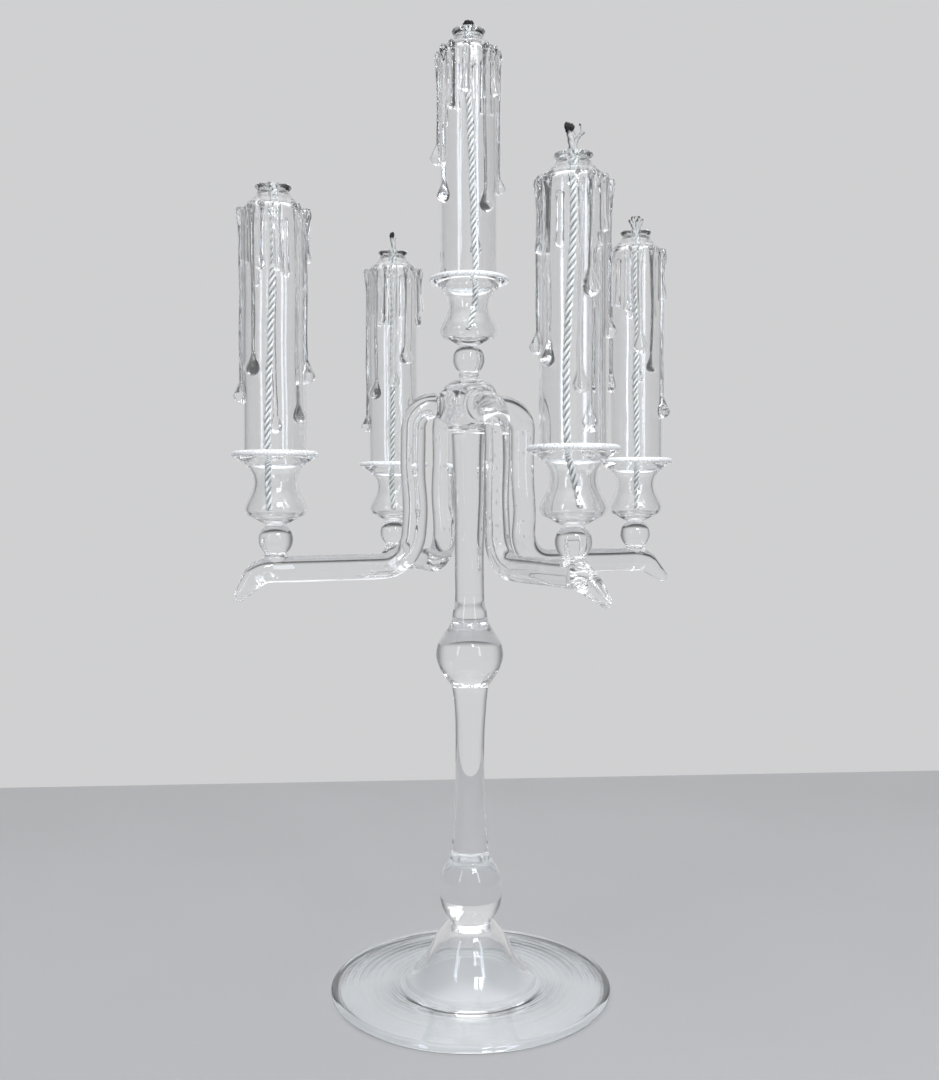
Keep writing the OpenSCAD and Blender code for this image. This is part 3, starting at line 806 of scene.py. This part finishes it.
def bubble_shells(place, line):
    """A few small seeds and drawn bubbles trapped in the rod, as closed shells facing inwards."""
    rng = np.random.default_rng(11 + ARM_PLACES.index(place))
    points, faces = [], []
    for _ in range(BUBBLES):
        at = rng.uniform(0.07, 0.42) * len(line)
        i = int(at)
        along = line[i + 1] - line[i]
        along /= np.linalg.norm(along)
        off = rng.normal(0, 1, 3)
        off -= along * (off @ along)
        centre = line[i] + off / np.linalg.norm(off) * rng.uniform(0.5, 4.8)
        wide, long = rng.uniform(0.16, 0.34), rng.uniform(0.4, 1.7)
        side = np.cross(along, [0.3, 0.9, 0.2])
        side /= np.linalg.norm(side)
        third = np.cross(along, side)
        first = len(points)
        for j in range(BUBBLE_RINGS):
            t = math.pi * (j + 0.5) / BUBBLE_RINGS
            for a in circle(BUBBLE_SIDES):
                points.append(centre + along * long * math.cos(t)
                              + wide * math.sin(t) * (side * math.cos(a) + third * math.sin(a)))
        points += [centre + along * long, centre - along * long]
        faces += [[first + i for i in face] for face in shell_faces()]
    return np.array(points), faces


def shell_faces():
    """Faces of one bubble, whose points are its rings and then its two tips."""
    faces = []
    last = (BUBBLE_RINGS - 1) * BUBBLE_SIDES
    tip = BUBBLE_RINGS * BUBBLE_SIDES
    for k in range(BUBBLE_SIDES):
        n = (k + 1) % BUBBLE_SIDES
        for row in range(0, last, BUBBLE_SIDES):
            below = row + BUBBLE_SIDES
            faces.append([row + k, row + n, below + n, below + k])
        faces += [[tip, n, k], [tip + 1, last + k, last + n]]
    return faces


def arm_rod(place):
    """Centreline, points and faces of one arm's rod along +X: root, leg, run and drooping, rounded tail."""
    line, along = evenly(arm_line(TAILS[place]), ARM_STEP)
    wander = 0.8 * np.exp(-((along - 78) / 30) ** 2)
    line[:, 0] += wander * np.sin(along / 11 + TURN[place])
    line[:, 1] += wander * np.sin(along / 15 + 2 * TURN[place])
    r = arm_radii(along, TAILS[place][2], TURN[place] / 40)
    tip = line[-1] - line[-2]
    tip /= np.linalg.norm(tip)
    cap = np.radians(np.linspace(10, 84, 9))
    line = np.vstack([line, line[-1] + tip * (TAIL_TIP_R * np.sin(cap))[:, None]])
    r = np.concatenate([r, TAIL_TIP_R * np.cos(cap)])
    t = circle(ARM_SIDES)
    left = np.linspace(len(line), 0, len(line)) * ARM_STEP
    swirl = 0.05 * np.clip(1 - left / 19, 0, 1) * np.clip(left / 3, 0, 1)
    swirled = r[:, None] * (1 - swirl[:, None] * (1 + np.sin(2 * t[None, :] + 0.42 * left[:, None])))
    return line, *swept(line, swirled, ARM_SIDES)


def make_arm(place):
    """One arm, with joint faces at its root and under its ball, and bubbles inside it."""
    line, points, faces = arm_rod(place)
    middle = np.array([points[f].mean(0) for f in faces])
    under_ball = np.hypot(middle[:, 0] - ARM_REACH, middle[:, 1]) < BALL_SEAT_R
    fused = under_ball & (middle[:, 2] > RUN_Z)
    fused[-2 * ARM_SIDES:-ARM_SIDES] = True
    shells, inner_faces = bubble_shells(place, line)
    faces = faces + [[i + len(points) for i in f] for f in inner_faces]
    fused = np.concatenate([fused, np.zeros(len(inner_faces), bool)])
    points = turned(np.vstack([points, shells]), TURN[place])
    stand_piece("arm_" + place, placed(points), faces, ROD_MATERIALS, fused, 60)


# ---------------- balls and cups

BALL_R = 10.4
BALL_HALF = 9.5
BALL_NECK_R = 6.4
BALL_SEAT_R = 7.3
BALL_FOOT_Z = -13.5
BALL_SIDES = 96


def make_ball(place):
    """The ball under a cup. An outer one is fused to its arm in a flared saddle."""
    x, y, _, _ = LIGHTS[place]
    cup_low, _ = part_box("cup_" + place)
    centre = cup_low.z - BALL_HALF * MM
    neck = smooth([
        [BALL_NECK_R + 0.5, BALL_HALF], [BALL_NECK_R - 0.1, BALL_HALF - 0.7], [7.1, 7.5]], 4)[::-1]
    body = arc((0, 0), BALL_R, -47, 47, 30)
    if place == "center":
        outline = joined([[0, -BALL_HALF]], neck[::-1] * [1, -1], body, neck, [[0, BALL_HALF]])
        points, faces, slots = lathe(outline, BALL_SIDES, fused=(0, len(outline) - 2))
        stand_piece("ball_center", placed(points, x, y, centre), faces, ROD_MATERIALS, slots, 50)
        return
    low = smooth([
        [BALL_SEAT_R + 0.1, BALL_FOOT_Z], [BALL_SEAT_R + 0.1, -10.6], [BALL_NECK_R, -9.2], [7.1, -7.5]], 4)
    outline = joined([[0, BALL_FOOT_Z]], low, body, neck, [[0, BALL_HALF]])
    points, faces, slots = lathe(outline, BALL_SIDES, fused=(len(outline) - 2,))
    ball = new_piece("glass_ball_" + place, placed(points, x, y, centre), faces, ROD_MATERIALS, slots, 50,
                     wobble=False)
    line, _ = evenly([[ARM_REACH - 14, 0, RUN_Z], [ARM_REACH + 14, 0, RUN_Z]], ARM_STEP)
    p, f = swept(line, np.full((len(line), BALL_SIDES), ARM_R), BALL_SIDES)
    rod = new_piece("rod", placed(turned(p, TURN[place])), f, [FUSED], None, 60, wobble=False)
    boolean(ball, rod, "DIFFERENCE")
    middle, _ = face_places(ball.data)
    across = middle[:, 1] if place in ("right", "left") else middle[:, 0]
    from_rod = np.hypot(across, middle[:, 2] - RUN_Z * MM)
    high = cup_low.z - NEAR
    finish_fused(ball, (from_rod < (ARM_R + 0.06) * MM) | (middle[:, 2] > high), 50)
    on_stand(ball, "ball_" + place)


CUP_H = 44.0
BULGE_R = 18.9
WAIST_R = 13.3
PAN_R = 26.0
TUBE_R = 19.0
BORE_R = 17.3


def make_cup(place):
    """The hollow cup: bulge, waist and drip pan, its top fused to the candle's tube."""
    x, y, _, _ = LIGHTS[place]
    low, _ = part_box("cup_" + place)
    rb, rw, rp, h = BULGE_R, WAIST_R, PAN_R, CUP_H
    outside = smooth([
        [BALL_NECK_R, 0], [9, 1.1], [13, 3.4], [rb * 0.92, 5.4], [rb, 8.6], [rb * 0.96, 12],
        [rb * 0.86, 16], [rw + 1, 20], [rw, 24], [rw + 0.2, 28], [rw + 1.8, 32], [rw + 5, 36],
        [rp * 0.87, h - 5], [rp - 1.2, h - 3.9]], 6)
    rim = arc((rp - 2, h - 2), 2, -60, 90, 16)
    inside = smooth([
        [BORE_R, h - 1], [BORE_R - 0.5, h - 4], [rw + 2, 36.5], [rw - 0.3, 32.3], [rw - 1.7, 28],
        [rw - 1.9, 24], [rw - 0.9, 19.6], [rb * 0.86 - 1.9, 15.4], [rb * 0.96 - 2, 11.6], [rb - 2.1, 8.4],
        [rb * 0.92 - 2.4, 6], [10, 4.7], [0, 4.5]], 6)
    inside[-1][0] = 0
    top = [[TUBE_R, h], [BORE_R, h]]
    outline = joined([[0, 0]], outside, rim, top, inside)
    seat = int(np.argmin(np.linalg.norm(outline - top[0], axis=1)))
    points, faces, slots = lathe(outline, 128, fused=(0, seat))
    middle = np.array([points[f].mean(0) for f in faces])
    # the rim's faces take the rim glass: tool-roughened glass whose white specks are partly painted
    # highlight
    on_rim = (np.hypot(middle[:, 0], middle[:, 1]) > rp - 4.5) & (middle[:, 2] > h - 3.2)
    slots = np.where(on_rim, 2, slots)
    stand_piece("cup_" + place, placed(points, x, y, low.z), faces,
                [CUP_GLASS, FUSED, RIM_GLASS], slots, 50)


# ---------------- candles with their drips

CANDLE_H = 155.5
NECK_R = 10.8
NECK_BORE_R = 8.0
COLUMNS = 288
# Distance between rows of points along the candle's upper part, and below it
FINE_ROW = 0.45
COARSE_ROW = 0.6
DRIP_R = 2.2
BEAD_R = 4.2
FILLET = 0.9
DRIP_START = 15.3
LEAST_RISE = 0.04
SHORT_DRIP = 46.0
BEAD_CLEARANCE = 15
# Long drips of each candle: direction around the candle in degrees, and length from the neck down
LONG_DRIPS = {
    "right": [(175, 105), (245, 79), (272, 93), (306, 123), (50, 96)],
    "back": [(158, 128), (204, 104), (250, 96), (278, 78), (20, 110)],
    "left": [(164, 122), (213, 107), (300, 135), (329, 110), (74, 139)],
    "front": [(149, 101), (193, 109), (250, 124), (268, 72), (329, 93), (26, 141)],
    "center": [(189, 105), (279, 112), (334, 98), (154, 78), (50, 133)],
}


def candle_side():
    """Outside of the candle from its neck down: radius and height of each row, and how far along it is."""
    h = CANDLE_H
    top = smooth([
        [TUBE_R, h - 15.5], [TUBE_R * 0.995, h - 13.4], [TUBE_R * 0.965, h - 11.2],
        [TUBE_R * 0.88, h - 8.4], [TUBE_R * 0.75, h - 6.0], [NECK_R + 1.1, h - 4.0],
        [NECK_R - 0.4, h - 2.0], [NECK_R - 1.3, h]], 16)[::-1]
    side = np.vstack([top, [[TUBE_R, 0]]])
    along = np.concatenate([[0], np.cumsum(np.linalg.norm(np.diff(side, axis=0), axis=1))])
    total = along[-1]
    at = np.concatenate([
        np.arange(0, 70, FINE_ROW), np.arange(70, total - 12, COARSE_ROW), [total - 8, total]])
    return np.column_stack([np.interp(at, along, side[:, 0]), np.interp(at, along, side[:, 1])]), at


def ring_gap(a, b):
    return min(abs(a - b), 360 - abs(a - b))


def drip_list(place):
    """Every drip of one candle as (direction, length, is it long)."""
    i = PLACES.index(place)
    drips = [(a, length, True) for a, length in LONG_DRIPS[place]]
    for a in range(10 + 5 * i, 360 + 5 * i, 30):
        if min(ring_gap(a % 360, d[0]) for d in LONG_DRIPS[place]) > BEAD_CLEARANCE:
            drips.append((a, SHORT_DRIP + 7 * math.sin(math.radians(7 * a)), False))
    return drips


def bump_height(distance, radius, lift):
    """Height of a round rod above the wall: its round back, its sides, then a small fillet at the wall."""
    back = lift + np.sqrt(np.clip(radius ** 2 - distance ** 2, 0, None))
    foot = lift * np.clip(1 - (distance - radius) / FILLET, 0, 1) ** 3
    return np.where(distance < radius, back, foot)


def drip_rod(at, end, number, is_long):
    """Radius of one drip's rod and how far its middle stands off the wall, along the candle."""
    head = np.exp(-((at - 14) / 6.5) ** 2)
    if is_long:
        rod = 1.12 + 0.12 * np.sin(at / 6 + number) + 0.85 * np.exp(-((at - 15) / 12) ** 2)
        lift = 0.65 + (1.0 + 0.4 * math.sin(number * 1.9)) * head
    else:
        foot = np.exp(-((at - end) / 5) ** 2)
        rod = DRIP_R * (0.88 + 0.05 * np.sin(at / 5 + number * 1.7)) + 0.12 * head + 0.3 * foot
        lift = 0.9 + 0.4 * math.sin(number * 2.9) + (0.9 + 0.4 * math.sin(number * 1.9)) * head + 0.5 * foot
    return rod, lift


def drip_heights(place, side, at):
    """How far the glass stands out from the candle's wall, by row and column."""
    phi = circle(COLUMNS)
    height = np.zeros((len(at), COLUMNS))
    drop = CANDLE_H - side[:, 1]
    for number, (angle, length, is_long) in enumerate(drip_list(place)):
        end = float(np.interp(length, drop, at))
        lean = math.radians(1.3) * np.sin(at / 16 + number * 2.3)
        away = (phi[None, :] - math.radians(angle) - lean[:, None] + math.pi) % (2 * math.pi) - math.pi
        across = np.abs(away) * side[:, :1]
        start = DRIP_START + 1.1 * math.sin(number * 2.1)
        past = np.maximum(start - at, 0)[:, None] + np.maximum(at - end, 0)[:, None]
        distance = np.hypot(across, past)
        rod, lift = drip_rod(at, end, number, is_long)
        height = np.maximum(height, bump_height(distance, rod[:, None], lift[:, None]))
        if is_long:
            height = np.maximum(height, bead_height(across, at, end, number))
    return height


def bead_height(across, at, end, number):
    """The teardrop bead at the end of a long drip."""
    size = BEAD_R * (1 + 0.12 * math.sin(number * 2.7))
    up = np.clip(end - at, 0, None)
    neck = np.clip(1 - up / (2.6 * size), 0, 1)
    width = size * np.where(at < end, np.sqrt(neck) * (0.55 + 0.45 * neck), 1.0)
    below = np.clip(at - end, 0, None)
    distance = np.hypot(across, below[:, None])
    lift = np.where(at < end, 1.3 * neck, 1.3)
    bead = bump_height(distance, np.maximum(width, 0.3)[:, None], lift[:, None])
    return np.where(width[:, None] > 0.3, bead, 0)


def outward(side, ring):
    """Directions out of the candle's wall, by row and column."""
    slope = np.gradient(side, axis=0)
    slope /= np.linalg.norm(slope, axis=1)[:, None]
    out = np.zeros((len(side), COLUMNS, 3))
    out[:, :, :2] = -slope[:, 1, None, None] * ring[None]
    out[:, :, 2] = slope[:, :1]
    return out


def footprint(raised):
    """The wall's squares that drips cover, and the points that have only such squares round them."""
    covered = raised[:-1] | raised[1:]
    covered = covered | np.roll(covered, -1, axis=1)
    beside = np.roll(covered, 1, axis=1)
    inner = np.zeros_like(raised)
    inner[1:-1] = covered[1:] & covered[:-1] & beside[1:] & beside[:-1]
    return covered, inner


def make_candle(place):
    """The hollow candle and the drips fused over its shoulder, from one grid, so that they meet exactly."""
    x, y, pan, _ = LIGHTS[place]
    side, at = candle_side()
    phi = circle(COLUMNS)
    ring = np.stack([np.cos(phi), np.sin(phi)], 1)
    base = np.zeros((len(at), COLUMNS, 3))
    base[:, :, :2] = side[:, :1, None] * ring[None]
    base[:, :, 2] = side[:, 1:2]
    out = outward(side, ring)
    height = drip_heights(place, side, at)
    raised = height > LEAST_RISE
    covered, inner = footprint(raised)
    lifted = base + height[:, :, None] * out
    lifted = np.where((inner & ~raised)[:, :, None], base + LEAST_RISE * out, lifted)
    i, k = np.meshgrid(np.arange(len(at) - 1), np.arange(COLUMNS), indexing="ij")
    n = (k + 1) % COLUMNS
    quads = np.stack([i * COLUMNS + k, (i + 1) * COLUMNS + k, (i + 1) * COLUMNS + n, i * COLUMNS + n], -1)
    make_tube(place, (x, y, pan), base, quads, covered)
    make_drips(place, (x, y, pan), base, lifted, quads, covered, inner)


def make_tube(place, origin, base, quads, covered):
    """The candle's own glass: outside, lip, inside and the ring fused to the cup."""
    h = CANDLE_H
    inside = smooth([
        [NECK_BORE_R, h - 0.3], [NECK_BORE_R, h - 3.6], [NECK_BORE_R + 1.8, h - 5.8],
        [NECK_BORE_R + 4.8, h - 8.2], [BORE_R * 0.885, h - 10.6], [BORE_R * 0.97, h - 12.8],
        [BORE_R, h - 15.5]], 8)
    inner = np.vstack([[[NECK_BORE_R + 0.3, h]], inside,
                       np.column_stack([np.full(20, BORE_R), np.linspace(h - 22, 0, 20)])])
    phi = circle(COLUMNS)
    rings = np.zeros((len(inner), COLUMNS, 3))
    rings[:, :, 0] = inner[:, :1] * np.cos(phi)
    rings[:, :, 1] = inner[:, :1] * np.sin(phi)
    rings[:, :, 2] = inner[:, 1:]
    rows = len(base)
    points = np.concatenate([base, rings]).reshape(-1, 3)
    order = [0] + list(range(rows, rows + len(inner))) + [rows - 1]
    faces = [quads.reshape(-1, 4)]
    slots = [covered.reshape(-1)]
    k = np.arange(COLUMNS)
    n = (k + 1) % COLUMNS
    for a, b in zip(order[:-1], order[1:]):
        faces.append(np.stack([b * COLUMNS + k, a * COLUMNS + k, a * COLUMNS + n, b * COLUMNS + n], -1))
        slots.append(np.full(COLUMNS, b == rows - 1))
    stand_piece("candle_" + place, placed(points, *origin), np.concatenate(faces),
                [TUBE_GLASS, FUSED], np.concatenate(slots), 50)


def make_drips(place, origin, base, lifted, quads, covered, raised):
    """The drips: displaced glass above their footprint and a joint face below it."""
    top = np.where(raised[:, :, None], lifted, base).reshape(-1, 3)
    low = base.reshape(-1, 3)
    shown = quads[covered]
    used = np.unique(shown)
    number = np.full(len(top), -1)
    number[used] = np.arange(len(used))
    split = used[raised.reshape(-1)[used]]
    under = number.copy()
    under[split] = len(used) + np.arange(len(split))
    points = np.vstack([top[used], low[split]])
    faces = np.concatenate([number[shown], under[shown][:, ::-1]])
    slots = np.concatenate([np.zeros(len(shown)), np.ones(len(shown))])
    stand_piece("drips_" + place, placed(points, *origin), faces, [DRIP_GLASS, FUSED], slots, 70)


# ---------------- wick holders


def make_holder(place):
    """The lift-out disc with its short tube, bored for the wick."""
    x, y, _, seat = LIGHTS[place]
    bore, tube, r, t, deep = WICK_D / 2 + 0.1, 3.4, 11.0, HOLDER_T, 12.0
    dish = smooth([[r * 0.77, 0], [r * 0.84, t * 0.25], [r * 0.93, t * 0.55], [r, t * 0.84]], 6)
    outline = joined(
        [[bore, -deep + 0.4], [bore + 0.3, -deep]], arc((tube - 0.4, -deep + 0.4), 0.4, -90, 0, 4),
        [[tube, -1.0]], arc((tube + 0.6, -0.6), 0.6, 180, 90, 4), dish,
        arc((r - 0.55, t - 0.55), 0.55, 10, 90, 6), [[bore + 1.2, t]],
        arc((bore + 0.5, t - 0.5), 0.5, 90, 180, 4))
    points, faces, slots = lathe(outline, 96, closed=True)
    holder = new_piece("glass_holder_" + place, placed(points, x, y, seat), faces, [HOLDER_GLASS],
                       slots, 50)
    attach(holder, "lamp_" + place)
    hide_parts("holder_" + place)


make_foot()
make_stem()
make_crown()
for light in ARM_PLACES:
    make_arm(light)
for light in PLACES:
    make_ball(light)
    make_cup(light)
    make_candle(light)
    make_holder(light)

# ---------------- floor, world and lights

FLOOR_BACK = 0.563
FLOOR_FRONT = 0.55
FLOOR_SIDE = 0.62
FLOOR_TURN = math.radians(3.7)
# Strengths of the room's light: before and behind the object, at its sides and overhead, and the
# share of it that is left well below the floor's level
WALL_LIGHT = 0.64
SIDE_LIGHT = 0.12
CEILING_LIGHT = 1.9
BELOW_LIGHT = 0.12


def make_floor():
    """A plain pale floor, which ends behind the object where the photograph's table does."""
    n = Nodes("pale_floor")
    shader = n.add("BsdfPrincipled", Roughness=0.75)
    tone = n.ramp(n.noise(3, 3), (0.3, (0.37, 0.37, 0.375)), (0.7, (0.39, 0.39, 0.395)))
    n.link(tone, shader.inputs["Base Color"])
    n.link(shader.outputs["BSDF"], n.out.inputs["Surface"])
    mesh = bpy.data.meshes.new("floor")
    corners = np.array([[FLOOR_FRONT, -FLOOR_SIDE, 0], [FLOOR_FRONT, FLOOR_SIDE, 0],
                        [-FLOOR_BACK, FLOOR_SIDE, 0], [-FLOOR_BACK, -FLOOR_SIDE, 0]])
    corners = turned(corners, math.degrees(CAMERA_AZIMUTH + FLOOR_TURN))
    mesh.from_pydata(corners.tolist(), [], [[0, 1, 2, 3]])
    mesh.materials.append(n.owner)
    floor = bpy.data.objects.new("floor", mesh)
    bpy.context.scene.collection.objects.link(floor)


def make_world():
    """A soft pale room: bright before and behind the object, dimmer at its sides, so that edges show."""
    n = Nodes("soft_room", world=True)
    parts = n.add("SeparateXYZ")
    n.link(n.add("TexCoord").outputs["Generated"], parts.inputs[0])
    x, y, z = parts.outputs
    along = n.math("ADD", n.math("MULTIPLY", x, -math.cos(CAMERA_AZIMUTH)),
                   n.math("MULTIPLY", y, -math.sin(CAMERA_AZIMUTH)))
    squares = n.math("ADD", n.math("POWER", x, 2.0), n.math("ADD", n.math("POWER", y, 2.0), 1e-5))
    facing = n.math("ABSOLUTE", n.math("DIVIDE", along, n.math("SQRT", squares)))
    wall = n.ranged(facing, SIDE_LIGHT, WALL_LIGHT, 0.44, 0.90, "SMOOTHSTEP")
    room = n.add("Mix", data_type="FLOAT")
    n.link(n.ranged(z, 0, 1, 0.62, 0.95, "SMOOTHSTEP"), room.inputs["Factor"])
    n.link(wall, room.inputs[2])
    room.inputs[3].default_value = CEILING_LIGHT
    below = n.ranged(z, BELOW_LIGHT, 1, -0.40, -0.245, "SMOOTHSTEP")
    background = n.add("Background", Color=(0.985, 0.985, 1.0, 1))
    n.link(n.math("MULTIPLY", room.outputs[0], below), background.inputs["Strength"])
    n.link(background.outputs[0], n.out.inputs["Surface"])
    bpy.context.scene.world = n.owner


def make_window(name, azimuth, distance, height, size, power, colour=(0.80, 0.88, 1.0)):
    """A soft rectangular light facing the object; the camera doesn't see it itself."""
    data = bpy.data.lights.new(name, "AREA")
    data.shape = "RECTANGLE"
    data.size, data.size_y = size
    data.energy = power
    data.color = colour
    light = bpy.data.objects.new(name, data)
    bpy.context.scene.collection.objects.link(light)
    a = math.radians(azimuth)
    light.location = (distance * math.cos(a), distance * math.sin(a), height)
    light.rotation_euler = (Vector((0, 0, 0.33)) - light.location).to_track_quat("-Z", "Y").to_euler()
    light.visible_camera = False


make_floor()
make_world()
make_window("window_right", 279, 1.5, 0.8, (0.19, 1.0), 3.6)
make_window("window_left", 203, 1.6, 0.8, (0.20, 1.0), 3.6)
for side, azimuth in (("right", 272), ("left", 259)):
    for level, height in (("high", 1.42), ("low", 1.16)):
        make_window("pane_" + side + "_" + level, azimuth, 1.15, height, (0.19, 0.2), 2.4,
                    (0.94, 0.97, 1.0))

scene = bpy.context.scene
scene.cycles.max_bounces = 96
scene.cycles.transmission_bounces = 64
scene.cycles.transparent_max_bounces = 64
scene.cycles.glossy_bounces = 72
scene.view_settings.view_transform = "Standard"
